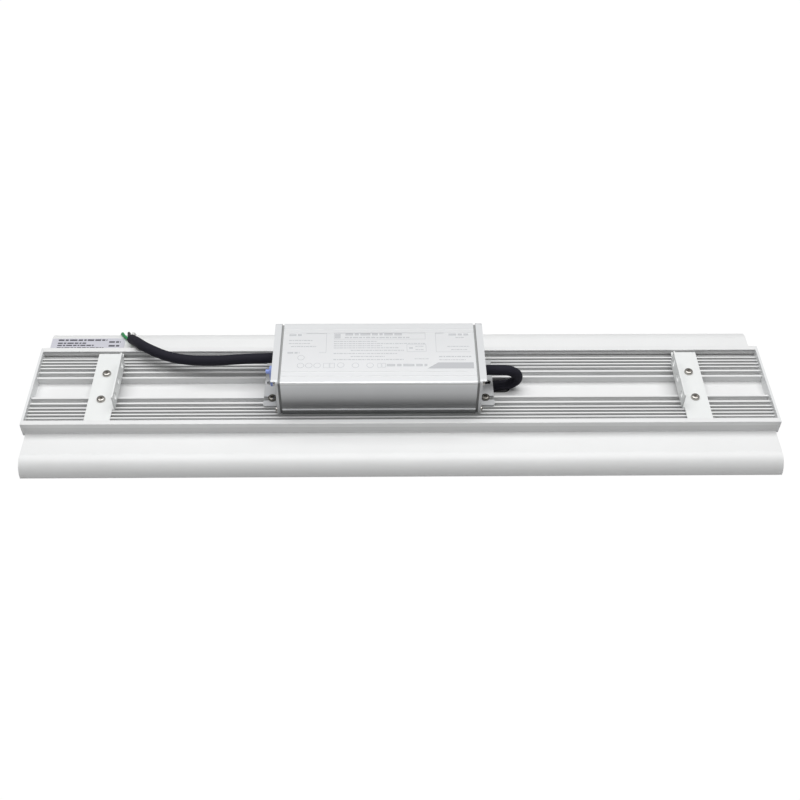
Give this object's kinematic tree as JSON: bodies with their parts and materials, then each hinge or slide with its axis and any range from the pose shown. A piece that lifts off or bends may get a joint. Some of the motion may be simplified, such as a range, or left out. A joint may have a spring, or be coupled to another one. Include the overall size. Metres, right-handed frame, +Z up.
{
  "type": "high bay light",
  "caption": "Linear high bay light: finned aluminium body with rounded wings, driver on its back, hanging brackets and a ribbed lens cover below.",
  "frame": {"origin": "middle of the footprint, on the surface that the wings' lower edges stand on", "axes": "+X along the light, +Y towards the side where the input cable ends, +Z up, light side down"},
  "size_m": [0.6, 0.1568, 0.0583],
  "materials": {
    "anodised_aluminium": "satin anodised extrusion",
    "cap_aluminium": "satin anodised sheet",
    "bracket_steel": "zinc plated sheet, satin",
    "stainless_screws": "stainless steel, bright",
    "case_aluminium": "fine matt anodised extrusion",
    "cast_plate": "die-cast, silver powder coat",
    "seal_rubber": "matt black",
    "plug_silicone": "matt blue-violet silicone",
    "cable_jacket": "matt black jacket",
    "core_black": "black insulation",
    "core_white": "white insulation",
    "core_green": "green insulation",
    "potting": "cured resin",
    "board_mask": "white solder mask",
    "led_resin": "phosphor resin in a white package",
    "solder": "bright solder",
    "lens_plastic": "clear moulded plastic",
    "white_silicone": "matt white silicone"
  },
  "bodies": {
    "root": {"heat_sink": "anodised_aluminium", "end_cap_left": "cap_aluminium", "end_cap_right": "cap_aluminium", "end_cap_screws": "stainless_screws", "bracket_left": "bracket_steel", "bracket_right": "bracket_steel", "bracket_screws": "stainless_screws", "driver_case": "case_aluminium", "driver_potting": "potting", "driver_gasket_left": "seal_rubber", "driver_gasket_right": "seal_rubber", "driver_end_plate_left": "cast_plate", "driver_end_plate_right": "cast_plate", "driver_end_screws": "stainless_screws", "driver_mounting_screws": "stainless_screws", "adjuster_plug": "plug_silicone", "input_bushing": "seal_rubber", "output_bushing": "seal_rubber", "input_cable": "cable_jacket", "core_black": "core_black", "core_white": "core_white", "core_green": "core_green", "output_cable": "cable_jacket", "output_leads": "core_white", "solder_joints": "solder", "entry_grommet": "seal_rubber", "led_board_left": "board_mask", "led_board_right": "board_mask", "leds_left": "led_resin", "leds_right": "led_resin", "board_link": "board_mask", "lens_cover": "lens_plastic", "cover_gasket": "white_silicone", "cover_screws": "stainless_screws"}
  },
  "joints": []
}
